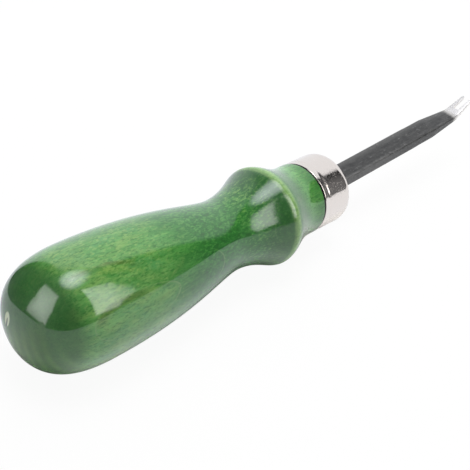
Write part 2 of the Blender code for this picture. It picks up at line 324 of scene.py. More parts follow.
def turned(profile, segments):
    """Turn a profile of (x, radius) points about X, ring by ring, so that every run has the same order."""
    points = profile[:1]
    for point in profile[1:]:
        if math.dist(point, points[-1]) > MERGE_DISTANCE:
            points.append(point)
    bm = bmesh.new()
    rings = []
    for x, radius in points:
        ring = []
        for index in range(segments if radius > MERGE_DISTANCE else 1):
            angle = 2 * math.pi * index / segments
            ring.append(bm.verts.new((x, radius * math.sin(angle), -radius * math.cos(angle))))
        rings.append(ring)
    for ring, following in zip(rings, rings[1:]):
        for index in range(segments):
            after = index + 1
            corners = [ring[index % len(ring)], ring[after % len(ring)],
                       following[after % len(following)], following[index % len(following)]]
            bm.faces.new(dict.fromkeys(corners))
    return bm


def curve(start, lean_out, lean_in, end, steps):
    """One Bezier stretch of the outline, without its last point."""
    knots = [Vector((*point, 0.0)) for point in (start, lean_out, lean_in, end)]
    points = interpolate_bezier(*knots, steps + 1)
    return [(point.x, max(point.y, 0.0)) for point in points[:-1]]


def level_curve(start, end, fullness):
    """A stretch that leaves and arrives parallel to the axis."""
    length = end[0] - start[0]
    lean_out = (start[0] + fullness[0] * length, start[1])
    lean_in = (end[0] - fullness[1] * length, end[1])
    return curve(start, lean_out, lean_in, end, CURVE_STEPS)


def handle_outline():
    """The turned outside, from the butt's pole to the collar."""
    collar = (collar_rear, collar_radius)
    bead = (bead_place, BEAD_DIAMETER / 2)
    waist = (waist_place, WAIST_DIAMETER / 2)
    belly = (belly_place, BELLY_DIAMETER / 2)
    pole = (butt_pole, 0.0)
    outline = curve(pole, (pole[0], BUTT_FULLNESS[0] * belly[1]),
                    (belly[0] - BUTT_FULLNESS[1] * BUTT_LENGTH, belly[1]), belly, BUTT_STEPS)
    outline += level_curve(belly, waist, GRIP_FULLNESS)
    outline += level_curve(waist, bead, BEAD_REAR_FULLNESS)
    outline += level_curve(bead, collar, BEAD_FRONT_FULLNESS)
    return outline


def tool_frame():
    """Where the turning axis lies: tilted onto belly and bead, inside the box of the frame's handle."""
    tilt = math.atan2((BELLY_DIAMETER - BEAD_DIAMETER) / 2, GRIP_LENGTH + BEAD_REAR_LENGTH)
    outline = handle_outline()
    back = min(x * math.cos(tilt) - radius * math.sin(tilt) for x, radius in outline)
    depth = max(x * math.sin(tilt) + radius * math.cos(tilt) for x, radius in outline)
    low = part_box("handle")[0]
    return Matrix.Translation((low[0] - back, 0.0, low[2] + depth)) @ Matrix.Rotation(tilt, 4, "Y")


def chip(bm):
    """Press a shallow dent into the butt, where its lacquer is chipped."""
    for vert in bm.verts:
        if vert.co.x > belly_place:
            continue
        across = (vert.co.y - CHIP_PLACE[0]) / CHIP_SIZE[0]
        along = (vert.co.z - CHIP_PLACE[1]) / CHIP_SIZE[1]
        vert.co.x += CHIP_DEPTH * smooth(1 - across * across - along * along)


def make_handle(material):
    inside = [(collar_rear, collar_radius)]
    inside += arc((-COLLAR_EASE, collar_radius - COLLAR_EASE), COLLAR_EASE, 90, 0, CORNER_STEPS)
    inside += [
        (0.0, spigot_radius),
        (spigot_front - spigot_chamfer, spigot_radius),
        (spigot_front, spigot_radius - spigot_chamfer),
        (spigot_front, bore_radius),
        (bore_floor, bore_radius),
        (bore_floor - bore_radius / math.tan(math.radians(DRILL_POINT / 2)), 0.0),
    ]
    bm = turned(handle_outline() + held(inside), HANDLE_SEGMENTS)
    chip(bm)
    add_piece("turned_handle", bm, "handle", material)


def make_ferrule(material):
    lip = LIP_ROUNDING
    lip_radius = ferrule_radius - LIP_STEP
    lip_front = ferrule_rear + LIP_WIDTH
    inside_front = ferrule_front - FERRULE_WALL
    inner_corner = (inside_front - ferrule_inner_corner, ferrule_bore - ferrule_inner_corner)
    profile = [(inside_front, 0.0)]
    profile += arc(inner_corner, ferrule_inner_corner, 0, 90, CORNER_STEPS)
    profile += [(ferrule_rear, ferrule_bore)]
    profile += arc((ferrule_rear + lip, lip_radius - lip), lip, 180, 90, CORNER_STEPS)
    for index in range(FLARE_STEPS + 1):
        share = index / FLARE_STEPS
        profile.append((lip_front + share * FLARE_LENGTH, lip_radius + smooth(share) * LIP_STEP))
    for x, radius in arc((0.0, 0.0), 1.0, 90, 0, 2 * CORNER_STEPS):
        profile.append((ferrule_front + CORNER_RUN * (x - 1), ferrule_radius + CORNER_DROP * (radius - 1)))
    profile += [(ferrule_front, 0.0)]
    piece = add_piece("plated_ferrule", turned(held(profile), FERRULE_SEGMENTS), "ferrule",
                      material)
    bm = bmesh.new()
    ends = (tang_end - CLEARANCE, blade_shoulder + FERRULE_WALL)
    skin(bm, tang_rings(bm, ends, CLEARANCE))
    cut(piece, bm)


def blade_stations():
    """Distances from the shoulder at which the blade has a section."""
    bend_start = SHANK_LENGTH + TAPER_LENGTH
    tip_start = bend_start + BEND_LENGTH
    round_start = blade_length - PRONG_ROUNDING
    stretches = [
        (0.0, RISE_LENGTH, 8),
        (RISE_LENGTH, ease_start, 20),
        (ease_start, ease_start + EASE_RUN, 12),
        (ease_start + EASE_RUN, SHANK_LENGTH, 6),
        (SHANK_LENGTH, bend_start, 16),
        (bend_start, tip_start, 20),
        (tip_start, round_start, 16),
    ]
    stations = [0.0]
    for start, end, steps in stretches:
        stations += [start + (end - start) * index / steps for index in range(1, steps + 1)]
    for index in range(1, CORNER_STEPS + 1):
        stations.append(round_start + PRONG_ROUNDING * math.sin(math.pi / 2 * index / CORNER_STEPS))
    return stations


def blade_angle(distance):
    """Upward lean of the blade, in radians."""
    bend_start = SHANK_LENGTH + TAPER_LENGTH
    rise = SHANK_RISE * smooth(distance / RISE_LENGTH)
    bend = TIP_BEND * smooth((distance - bend_start) / BEND_LENGTH)
    return math.radians(rise + bend)


def blade_path(stations):
    """Centre of each station, with its lean."""
    place = Vector((blade_shoulder, 0.0, BLADE_OFFSET))
    path = [(place.copy(), blade_angle(stations[0]))]
    for start, end in zip(stations, stations[1:]):
        middle = blade_angle((start + end) / 2)
        place = place + (end - start) * Vector((math.cos(middle), 0.0, math.sin(middle)))
        path.append((place.copy(), blade_angle(end)))
    return path


def blade_section(distance):
    """Width, thickness and edge rounding of the blade at a distance from its shoulder."""
    share = max(distance - SHANK_LENGTH, 0.0) / (blade_length - SHANK_LENGTH)
    width = SHANK_WIDTH + (fork_width - SHANK_WIDTH) * share
    thickness = SHANK_THICKNESS + (PRONG_THICKNESS - SHANK_THICKNESS) * share
    past = max(distance - (blade_length - PRONG_ROUNDING), 0.0) / PRONG_ROUNDING
    width -= 2 * PRONG_ROUNDING * (1 - math.sqrt(max(1 - past * past, 0.0)))
    eased = smooth((distance - ease_start) / EASE_RUN)
    rounding = SHANK_CORNER + (EASED_CORNER - SHANK_CORNER) * eased
    return width, thickness, rounding + (PRONG_CORNER - rounding) * share


def section_ring(bm, place, lean, width, thickness, corner, crown=0.0):
    """A rounded rectangle across the blade, as one loop of vertices that thins towards its edges."""
    radius = min(corner, CORNER_LIMIT * thickness, CORNER_LIMIT * width)
    flat = width / 2 - radius
    points = []
    for quarter, (y_sign, z_sign) in enumerate(((1, 1), (-1, 1), (-1, -1), (1, -1))):
        for index in range(CORNER_STEPS + 1):
            angle = math.pi / 2 * (quarter + index / CORNER_STEPS)
            points.append((y_sign * flat + radius * math.cos(angle),
                           z_sign * (thickness / 2 - radius) + radius * math.sin(angle)))
        if y_sign == z_sign:
            for index in range(1, FACE_STEPS):
                points.append((y_sign * flat * (1 - 2 * index / FACE_STEPS), z_sign * thickness / 2))
    up = Vector((-math.sin(lean), 0.0, math.cos(lean)))
    side = Vector((0.0, 1.0, 0.0))
    ring = []
    for y, z in points:
        thin = 1 - crown * (2 * y / width) ** 2
        ring.append(bm.verts.new(place + side * y + up * z * thin))
    return ring


def skin(bm, rings):
    """Close a row of rings into one body."""
    for ring, following in zip(rings, rings[1:]):
        for index in range(len(ring)):
            after = (index + 1) % len(ring)
            bm.faces.new((ring[index], ring[after], following[after], following[index]))
    bm.faces.new(rings[0])
    bm.faces.new(rings[-1])


def tang_rings(bm, ends, growth):
    """Sections of the tapered tang at two places on the axis, grown on all sides by a clearance."""
    rings = []
    for x in ends:
        share = 1 - (1 - TANG_TAPER) * (blade_shoulder - x) / TANG_LENGTH
        width = tang_width * share + 2 * growth
        thickness = tang_thickness * share + 2 * growth
        place = Vector((x, 0.0, BLADE_OFFSET))
        rings.append(section_ring(bm, place, 0.0, width, thickness, TANG_CORNER))
    return rings


def cut(piece, bm):
    """Subtract a closed bmesh, given along the axis, from a piece."""
    cutter = mesh_object("cutter", bm)
    modifier = piece.modifiers.new("cut", "BOOLEAN")
    modifier.operation = "DIFFERENCE"
    modifier.solver = "EXACT"
    modifier.object = cutter
    bpy.context.view_layer.update()
    depsgraph = bpy.context.evaluated_depsgraph_get()
    result = bpy.data.meshes.new_from_object(piece.evaluated_get(depsgraph))
    result.name = piece.name
    piece.modifiers.clear()
    piece.data = result
    shade(piece)
    bpy.data.objects.remove(cutter, do_unlink=True)


def slot_shape(tip_place, tip_lean):
    """A round-rooted slot with an eased mouth, through the fork, leaning back at its root."""
    half = SLOT_WIDTH / 2
    ease = PRONG_ROUNDING
    root = arc((half - SLOT_LENGTH, 0.0), half, 90, 270, 2 * CORNER_STEPS)
    mouth = arc((-ease, half + ease), ease, 270, 360, CORNER_STEPS)
    mouth.append((PRONG_WIDTH, half + ease))
    outline = root + [(x, -y) for x, y in mouth] + mouth[::-1]
    reach = 2 * SHANK_THICKNESS
    lean_back = reach * math.tan(math.radians(SLOT_RAKE))
    place = Matrix.Translation(tip_place) @ Matrix.Rotation(-tip_lean, 4, "Y")
    bm = bmesh.new()
    loops = []
    for side in (-1, 1):
        loop = []
        for x, y in outline:
            shift = side * lean_back if x < -SLOT_LENGTH / 2 else 0.0
            loop.append(bm.verts.new(place @ Vector((x - shift, y, side * reach))))
        loops.append(loop)
    skin(bm, loops)
    return bm


def make_blade(material):
    stations = blade_stations()
    path = blade_path(stations)
    bm = bmesh.new()
    rings = tang_rings(bm, (tang_end, blade_shoulder), 0.0)
    for distance, (place, lean) in zip(stations, path):
        rings.append(section_ring(bm, place, lean, *blade_section(distance), CROWN))
    skin(bm, rings)
    piece = add_piece("forked_blade", bm, "blade", material)
    cut(piece, slot_shape(*path[-1]))


# Materials


def new_material(name):
    material = bpy.data.materials.new(name)
    material.use_nodes = True
    return material, material.node_tree, material.node_tree.nodes["Principled BSDF"]


def add_node(tree, kind, inputs=None, **settings):
    """A node with its settings, and with values or links on its sockets."""
    node = tree.nodes.new(kind)
    for name, value in settings.items():
        setattr(node, name, value)
    for socket, value in (inputs or {}).items():
        if isinstance(value, bpy.types.NodeSocket):
            tree.links.new(value, node.inputs[socket])
        else:
            node.inputs[socket].default_value = value
    return node


def tool_place(tree):
    """The surface point along the tool's own axes, from the handle's shoulder."""
    point = add_node(tree, "ShaderNodeTexCoord").outputs["Object"]
    mapped = add_node(tree, "ShaderNodeMapping", {"Vector": point, "Location": tool.translation,
                                                  "Rotation": tool.to_euler()}, vector_type="TEXTURE")
    return mapped.outputs["Vector"]


def stretched_noise(tree, vector, density, detail=2.0, roughness=0.5, distortion=0.0):
    """Noise with its own number of cells per metre along each axis."""
    mapped = add_node(tree, "ShaderNodeMapping", {"Vector": vector, "Scale": density})
    noise = add_node(tree, "ShaderNodeTexNoise", {"Vector": mapped.outputs["Vector"], "Scale": 1.0,
                                                  "Detail": detail, "Roughness": roughness,
                                                  "Distortion": distortion})
    return noise.outputs["Fac"]


def remap(tree, value, low, high, to_low=0.0, to_high=1.0, ease=False):
    """Stretch a range of a value onto another, without leaving it."""
    node = add_node(tree, "ShaderNodeMapRange", {"Value": value, "From Min": low, "From Max": high,
                                                 "To Min": to_low, "To Max": to_high})
    if ease:
        node.interpolation_type = "SMOOTHSTEP"
    return node.outputs["Result"]


def maths(tree, operation, first, second=0.0):
    return add_node(tree, "ShaderNodeMath", {0: first, 1: second}, operation=operation).outputs["Value"]


def apart(tree, value, place):
    """Distance of a value from a place, either way."""
    return maths(tree, "ABSOLUTE", maths(tree, "SUBTRACT", value, place))


def near(tree, value, place, reach, full, low=0.0, high=1.0):
    """Ease from low, at a distance from a place, to high, close to it."""
    return remap(tree, apart(tree, value, place), reach, full, low, high, ease=True)


def dot(tree, vector, direction):
    return add_node(tree, "ShaderNodeVectorMath", {0: vector, 1: direction},
                    operation="DOT_PRODUCT").outputs["Value"]


def blend(tree, share, first, second):
    """Mix two colours, each a socket or three numbers."""
    node = tree.nodes.new("ShaderNodeMix")
    node.data_type = "RGBA"
    sockets = {"share": node.inputs[0], "first": node.inputs[6], "second": node.inputs[7]}
    for name, value in (("share", share), ("first", first), ("second", second)):
        if isinstance(value, bpy.types.NodeSocket):
            tree.links.new(value, sockets[name])
        elif name == "share":
            sockets[name].default_value = value
        else:
            sockets[name].default_value = (*value, 1.0)
    return node.outputs[2]


def ellipse(tree, place, middle, size):
    """1 inside an ellipse on the butt, given by y and z, and 0 outside."""
    split = add_node(tree, "ShaderNodeSeparateXYZ", {"Vector": place}).outputs
    across = maths(tree, "DIVIDE", maths(tree, "SUBTRACT", split["Y"], middle[0]), size[0])
    along = maths(tree, "DIVIDE", maths(tree, "SUBTRACT", split["Z"], middle[1]), size[1])
    squares = maths(tree, "ADD", maths(tree, "POWER", across, 2.0), maths(tree, "POWER", along, 2.0))
    at_butt = maths(tree, "LESS_THAN", split["X"], belly_place)
    return maths(tree, "MULTIPLY", remap(tree, squares, 1.0, 0.6), at_butt)


def product(tree, first, *factors):
    for factor in factors:
        first = maths(tree, "MULTIPLY", first, factor)
    return first


def tint(tree, body, colour, mask, share):
    """Lay a share of a colour over a body colour where a mask says so."""
    return blend(tree, product(tree, mask, share), body, colour)


def wood_noises(tree, place):
    """Broad clouds, streaks along the grain, patches, short flecks and pores."""
    return {
        "cloud": stretched_noise(tree, place, (60.0, 130.0, 130.0), 2.0, 0.5),
        "streak": stretched_noise(tree, place, (110.0, 800.0, 800.0), 4.0, 0.65),
        "patch": stretched_noise(tree, place, (120.0, 330.0, 330.0), 3.0, 0.55, 0.4),
        "fleck": stretched_noise(tree, place, (760.0, 1900.0, 1900.0), 3.0, 0.65, 0.5),
        "pore": stretched_noise(tree, place, (900.0, 2800.0, 2800.0), 2.0, 0.6),
    }


def stain(tree, split, noise, on_belly):
    """Stain takes unevenly: it lies thin on the belly and in the cove, and thick along the waist."""
    along = split["X"]
    tone = maths(tree, "ADD", product(tree, noise["streak"], 0.55), product(tree, noise["cloud"], 0.45))
    tone = remap(tree, tone, 0.38, 0.62)
    mottle = remap(tree, noise["fleck"], 0.36, 0.64)
    body = blend(tree, tone, *BODY_STAIN)
    thick = near(tree, along, *THICK_ZONE, 0.0, 0.66)
    body = blend(tree, thick, body, blend(tree, mottle, *THICK_STAIN))
    body = tint(tree, body, blend(tree, tone, *THIN_STAIN), on_belly, 0.7)
    body = tint(tree, body, BEAD_STAIN, near(tree, along, *BEAD_ZONE), 0.35)
    body = tint(tree, body, blend(tree, tone, *COVE_STAIN), near(tree, along, *COVE_ZONE), 0.75)

    # On the belly it turns yellowish in some patches and bluish in others, and pale on the butt's shoulder
    yellowish = product(tree, remap(tree, noise["patch"], 0.52, 0.68), on_belly)
    bluish = product(tree, remap(tree, noise["patch"], 0.48, 0.34), on_belly)
    shoulder = product(tree, near(tree, along, *SHOULDER_ZONE), near(tree, split["Y"], *SHOULDER_SPREAD),
                       remap(tree, split["Z"], 0.0, 0.005))
    body = tint(tree, body, YELLOW_STAIN, yellowish, 0.6)
    body = tint(tree, body, BLUE_STAIN, bluish, 0.5)
    return tint(tree, body, PALE_STAIN, shoulder, 0.22)


def growth_rings(tree, body, place, split, noise, flat_cut):
    """Flat layers of dark late wood that end at a thin pale line. Returns the colour and the ring."""
    along = split["X"]
    wander = product(tree, stretched_noise(tree, place, (30.0, 90.0, 90.0), 2.0), RING_WANDER)
    height = maths(tree, "ADD", dot(tree, place, RING_NORMAL), wander)
    turn = maths(tree, "DIVIDE", maths(tree, "SUBTRACT", height, RING_START), RING_SPACING)
    ring = maths(tree, "FRACT", turn)

    # On top of the belly the layers lean
    past = maths(tree, "SUBTRACT", along, LAYER_ZONE[0])
    leaning = maths(tree, "SUBTRACT", turn, product(tree, past, LAYER_LEAN))
    stray = remap(tree, noise["patch"], 0.3, 0.7, -LAYER_STRAY, LAYER_STRAY)
    leaning = maths(tree, "ADD", leaning, stray)
    around = near(tree, along, *LAYER_ZONE)
    late = product(tree, near(tree, leaning, *LATE_LAYER), around,
                   remap(tree, noise["streak"], 0.40, 0.58, 0.25, 1.0))
    pale = product(tree, near(tree, leaning, *PALE_LAYER), around,
                   remap(tree, noise["fleck"], 0.38, 0.58, 0.25, 1.0))
    body = tint(tree, body, LATE_WOOD, late, 0.75)
    body = tint(tree, body, PALE_WOOD, pale, 0.5)

    # The ring line shows on flat cuts, with olive wood beside it
    olive = product(tree, near(tree, turn, *OLIVE_LAYER), near(tree, along, *OLIVE_ZONE),
                    remap(tree, split["Z"], 0.0045, 0.0060))
    line = product(tree, remap(tree, ring, 0.0, 0.05, 1.0, 0.0, ease=True), remap(tree, flat_cut, 0.92, 0.97))
    body = tint(tree, body, OLIVE_WOOD, olive, 0.6)
    return tint(tree, body, RING_LINE, line, 0.5), ring


def rays_and_pores(tree, body, along, noise, flat_cut, on_belly):
    """Yellow flecks where the surface crosses the rings, and dark pores."""
    crossing = remap(tree, flat_cut, 0.95, 0.35, 0.5, 1.0)
    figure = near(tree, along, *FIGURE_ZONE, 0.0, 0.4)
    shown = maths(tree, "ADD", remap(tree, on_belly, 0.0, 1.0, 0.4, 0.85), figure)
    ray = product(tree, remap(tree, noise["fleck"], 0.50, 0.66), crossing, shown)
    body = blend(tree, ray, body, RAY)
    return blend(tree, remap(tree, noise["pore"], 0.50, 0.68, 0.0, 0.65), body, PORE)


def wear_stain_and_painted_light(tree, body, place, split, normal, noise, ring):
    """What use and finishing leave on the handle, with painted shade in the seam and a painted highlight
    along the bead's crest.
    """
    along = split["X"]

    # The stain is rubbed thin along the bead's crest, and a painted highlight lies on it
    rubbed_and_lit = product(tree, near(tree, along, bead_place, *CREST_REACH),
                     remap(tree, noise["fleck"], 0.30, 0.60, 0.35, 0.85))
    body = blend(tree, rubbed_and_lit, body, RUBBED_STAIN_AND_HIGHLIGHT)

    # End grain drinks more stain, and its rings show on the lower half
    facing = maths(tree, "ABSOLUTE", dot(tree, normal, (1.0, 0.0, 0.0)))
    end_grain = remap(tree, facing, 0.16, 0.48, 0.0, 0.76, ease=True)
    below = product(tree, remap(tree, split["Z"], 0.005, -0.002), near(tree, ring, *END_LAYER, 0.3, 0.8))
    body = blend(tree, end_grain, body, blend(tree, below, *END_STAIN))

    # The seam at the ferrule is darkened by stain and by painted shade of the gap
    body = blend(tree, remap(tree, along, *SEAM_STAIN_AND_SHADE_REACH), body, SEAM_STAIN_AND_SHADE)

    # The chip shows pale wood above a dark crack
    body = blend(tree, ellipse(tree, place, CHIP_PLACE, CHIP_SIZE), body, BARE_WOOD)
    return blend(tree, ellipse(tree, place, CRACK_PLACE, CRACK_SIZE), body, CRACK)


def lacquer(tree, shader, place, along, noise):
    """A clear coat with faint turning marks, dimpled where the grain shows through it."""
    grain = add_node(tree, "ShaderNodeBump", {"Height": noise["pore"], "Strength": 0.12, "Distance": 0.0001})
    tree.links.new(grain.outputs["Normal"], shader.inputs["Normal"])
    tree.links.new(remap(tree, noise["fleck"], 0.3, 0.7, 0.40, 0.55), shader.inputs["Roughness"])
    turning = stretched_noise(tree, place, (1600.0, 60.0, 60.0), 1.0, 0.5)
    ripple = add_node(tree, "ShaderNodeBump", {"Height": turning, "Strength": 0.05, "Distance": 0.00004})
    uneven = near(tree, along, *UNEVEN_ZONE, 0.04, 0.42)
    dimple = add_node(tree, "ShaderNodeBump", {"Height": noise["fleck"], "Strength": uneven,
                                               "Distance": 0.00005, "Normal": ripple.outputs["Normal"]})
    tree.links.new(dimple.outputs["Normal"], shader.inputs["Coat Normal"])
    shader.inputs["Specular IOR Level"].default_value = 0.12
    shader.inputs["Coat Weight"].default_value = 1.0
    shader.inputs["Coat Roughness"].default_value = 0.05
    shader.inputs["Coat IOR"].default_value = 1.6


def stained_wood():
    material, tree, shader = new_material("stained_wood")
    place = tool_place(tree)
    split = add_node(tree, "ShaderNodeSeparateXYZ", {"Vector": place}).outputs
    along = split["X"]
    normal = add_node(tree, "ShaderNodeTexCoord").outputs["Normal"]
    flat_cut = maths(tree, "ABSOLUTE", dot(tree, normal, RING_NORMAL))
    on_belly = product(tree, near(tree, along, *THIN_ZONE), remap(tree, split["Y"], 0.003, 0.007, 1.0, 0.4))
    noise = wood_noises(tree, place)
    body = stain(tree, split, noise, on_belly)
    body, ring = growth_rings(tree, body, place, split, noise, flat_cut)
    body = rays_and_pores(tree, body, along, noise, flat_cut, on_belly)
    body = wear_stain_and_painted_light(tree, body, place, split, normal, noise, ring)
    tree.links.new(body, shader.inputs["Base Color"])
    lacquer(tree, shader, place, along, noise)
    return material


def nickel_plate():
    material, tree, shader = new_material("nickel_plate")
    place = tool_place(tree)
    speckle = stretched_noise(tree, place, (2200.0, 2200.0, 2200.0), 2.0, 0.6)
    cloud = stretched_noise(tree, place, (220.0, 220.0, 220.0), 2.0, 0.5)
    nickel = blend(tree, cloud, *NICKEL)

    # Stain has run into the gap behind the lip, and painted shade of the gap darkens the lip's rear
    along = add_node(tree, "ShaderNodeSeparateXYZ", {"Vector": place}).outputs["X"]
    stained_and_shaded = remap(tree, along, *(ferrule_rear + reach for reach in LIP_STAIN_AND_SHADE_REACH))
    tree.links.new(blend(tree, stained_and_shaded, nickel, LIP_STAIN_AND_SHADE), shader.inputs["Base Color"])
    tree.links.new(remap(tree, speckle, 0.46, 0.72, 0.07, 0.32), shader.inputs["Roughness"])
    bump = add_node(tree, "ShaderNodeBump", {"Height": speckle, "Strength": 0.11, "Distance": 0.00005})
    tree.links.new(bump.outputs["Normal"], shader.inputs["Normal"])
    shader.inputs["Metallic"].default_value = 1.0
    return material


def blackened_steel():
    material, tree, shader = new_material("blackened_steel")
    place = tool_place(tree)
    split = add_node(tree, "ShaderNodeSeparateXYZ", {"Vector": place}).outputs
    scale = stretched_noise(tree, place, (700.0, 900.0, 900.0), 3.0, 0.65)
    scratch = stretched_noise(tree, place, (220.0, 1700.0, 1700.0), 2.0, 0.6)
    speck = stretched_noise(tree, place, (750.0, 1100.0, 1100.0), 2.0, 0.5)
    grind = stretched_noise(tree, place, (900.0, 160.0, 900.0), 2.0, 0.5)

    # The oxide is rubbed thinner at both edges, which draw in along the taper, and lightened there by a
    # painted sheen that stands for the edges' reflections, and scratched along the bar
    black = blend(tree, remap(tree, scale, 0.3, 0.7), *BLACK_OXIDE)
    drawn_in = remap(tree, split["X"], blade_shoulder + SHANK_LENGTH, blade_shoulder + blade_length,
                     0.0, (SHANK_WIDTH - fork_width) / 2)
    edge = maths(tree, "ADD", split["Y"], maths(tree, "MULTIPLY", drawn_in, maths(tree, "SIGN", split["Y"])))
    far_side = remap(tree, edge, *FAR_EDGE, 0.0, 0.9)
    near_side = product(tree, remap(tree, edge, *NEAR_EDGE, ease=True),
                        remap(tree, scale, 0.35, 0.60, 0.5, 1.0),
                        remap(tree, split["X"], *NEAR_FADE, 1.0, 0.25, ease=True))
    black = blend(tree, far_side, black, FAR_WEAR_AND_SHEEN)
    black = blend(tree, near_side, black, NEAR_WEAR_AND_SHEEN)
    black = blend(tree, remap(tree, scratch, 0.54, 0.72, 0.0, 0.4), black, SCRATCHED)
    black = blend(tree, remap(tree, speck, 0.62, 0.70, 0.0, 0.5), black, SPECKED)
    bright = blend(tree, grind, *BRIGHT_STEEL)

    # The fork is ground bright, with a ragged soft edge
    ragged = maths(tree, "ADD", split["X"], product(tree, scale, GROUND_RAGGED))
    ground = remap(tree, ragged, *GROUND_START, ease=True)
    tree.links.new(blend(tree, ground, black, bright), shader.inputs["Base Color"])
    tree.links.new(ground, shader.inputs["Metallic"])
    dull = remap(tree, scale, 0.3, 0.7, 0.36, 0.52)
    polished = remap(tree, grind, 0.3, 0.7, 0.24, 0.32)
    rough = add_node(tree, "ShaderNodeMix", {0: ground, 2: dull, 3: polished})
    tree.links.new(rough.outputs[0], shader.inputs["Roughness"])
    pitted = remap(tree, ground, 0.0, 1.0, 0.3, 0.0)
    bump = add_node(tree, "ShaderNodeBump", {"Height": scale, "Strength": pitted, "Distance": 0.00005})
    tree.links.new(bump.outputs["Normal"], shader.inputs["Normal"])
    shader.inputs["Specular Tint"].default_value = (1.0, 0.98, 0.94, 1.0)
    return material


def amber_resin():
    material, tree, shader = new_material("amber_resin")
    place = tool_place(tree)
    cloud = stretched_noise(tree, place, (300.0, 300.0, 300.0), 3.0, 0.6)
    tree.links.new(blend(tree, cloud, *RESIN), shader.inputs["Base Color"])
    tree.links.new(remap(tree, cloud, 0.3, 0.7, 0.25, 0.45), shader.inputs["Roughness"])
    return material


# Studio


def toward(azimuth, elevation, distance):
    """A place seen from the studio's middle: azimuth 0 towards the tip, in the leaning studio."""
    azimuth = math.radians(azimuth)
    elevation = math.radians(elevation)
    level = Vector((math.cos(elevation) * math.cos(azimuth), math.cos(elevation) * math.sin(azimuth),
                    math.sin(elevation)))
    lean = Matrix.Rotation(math.radians(STUDIO_ROLL), 3, "X")
    return tool @ Vector((STUDIO_MIDDLE, 0.0, 0.0)) + lean @ level * distance


def lamp(name, azimuth, elevation, distance, width, height, radiance, shape="RECTANGLE"):
    """A lamp facing the tool, which reflections don't see."""
    data = bpy.data.lights.new(name, "AREA")
    data.shape = shape
    data.size = width
    data.size_y = height
    area = width * height * (math.pi / 4 if shape == "DISK" else 1.0)
    data.energy = radiance * math.pi * area
    light = bpy.data.objects.new(name, data)
    bpy.context.collection.objects.link(light)
    light.location = toward(azimuth, elevation, distance)
    aim = toward(0.0, 0.0, 0.0) - light.location
    light.rotation_euler = aim.to_track_quat("-Z", "Y").to_euler()
    light.visible_camera = False
    light.visible_glossy = False


def make_world():
    """White surroundings, which light the object only softly."""
    world = bpy.data.worlds.new("white_surroundings")
    bpy.context.scene.world = world
    world.use_nodes = True
    tree = world.node_tree
    path = add_node(tree, "ShaderNodeLightPath").outputs
    seen = maths(tree, "MAXIMUM", path["Is Camera Ray"], path["Is Glossy Ray"])
    seen = maths(tree, "MAXIMUM", seen, path["Is Transmission Ray"])
    background = tree.nodes["Background"]
    white = blend(tree, path["Is Glossy Ray"], (1.0, 1.0, 1.0), COOL_WHITE)
    tree.links.new(white, background.inputs["Color"])
    tree.links.new(remap(tree, seen, 0.0, 1.0, AMBIENT, 1.0), background.inputs["Strength"])


def make_floor():
    """A pale floor that keeps a faint shadow near the tool and runs into white further out."""
    bm = bmesh.new()
    bmesh.ops.create_circle(bm, cap_ends=True, radius=FLOOR_RADIUS, segments=FLOOR_SEGMENTS)
    mesh = bpy.data.meshes.new("floor")
    bm.to_mesh(mesh)
    bm.free()
    floor = bpy.data.objects.new("floor", mesh)
    bpy.context.collection.objects.link(floor)
    material, tree, shader = new_material("pale_floor")
    shader.inputs["Base Color"].default_value = FLOOR_PALE
    shader.inputs["Roughness"].default_value = 0.9
    shader.inputs["Specular IOR Level"].default_value = 0.1
    place = add_node(tree, "ShaderNodeTexCoord").outputs["Object"]
    distance = add_node(tree, "ShaderNodeVectorMath", {0: place}, operation="LENGTH").outputs["Value"]
    path = add_node(tree, "ShaderNodeLightPath").outputs
    to_camera = product(tree, path["Is Camera Ray"], remap(tree, distance, *FLOOR_FADE, FLOOR_WHITE, 1.0))
    white = add_node(tree, "ShaderNodeEmission", {"Strength": 1.0})
    seen = add_node(tree, "ShaderNodeMixShader", {0: to_camera, 1: shader.outputs["BSDF"],
                                                  2: white.outputs["Emission"]})

    # Reflections see the white surroundings instead of the floor, apart from the shaded strip at the tool
    aside = maths(tree, "ABSOLUTE", add_node(tree, "ShaderNodeSeparateXYZ", {"Vector": place}).outputs["Y"])
    mirrored = maths(tree, "MAXIMUM", path["Is Glossy Ray"], path["Is Transmission Ray"])
    opened = product(tree, mirrored, remap(tree, aside, *SHADED_STRIP, ease=True))
    clear = add_node(tree, "ShaderNodeBsdfTransparent")
    mixed = add_node(tree, "ShaderNodeMixShader", {0: opened, 1: seen.outputs["Shader"],
                                                   2: clear.outputs["BSDF"]})
    tree.links.new(mixed.outputs["Shader"], tree.nodes["Material Output"].inputs["Surface"])
    mesh.materials.append(material)


def card(name, bm, radiance):
    """A glowing sheet which only reflections see. Returns its glow."""
    mesh = bpy.data.meshes.new(name)
    bm.to_mesh(mesh)
    bm.free()
    sheet = bpy.data.objects.new(name, mesh)
    bpy.context.collection.objects.link(sheet)
    material = bpy.data.materials.new(name)
    material.use_nodes = True
    tree = material.node_tree
    glow = add_node(tree, "ShaderNodeEmission", {"Strength": radiance})
    tree.links.new(glow.outputs["Emission"], tree.nodes["Material Output"].inputs["Surface"])
    mesh.materials.append(material)
    sheet.visible_camera = False
    sheet.visible_diffuse = False
    sheet.visible_transmission = False
    sheet.visible_shadow = False
    return tree, glow


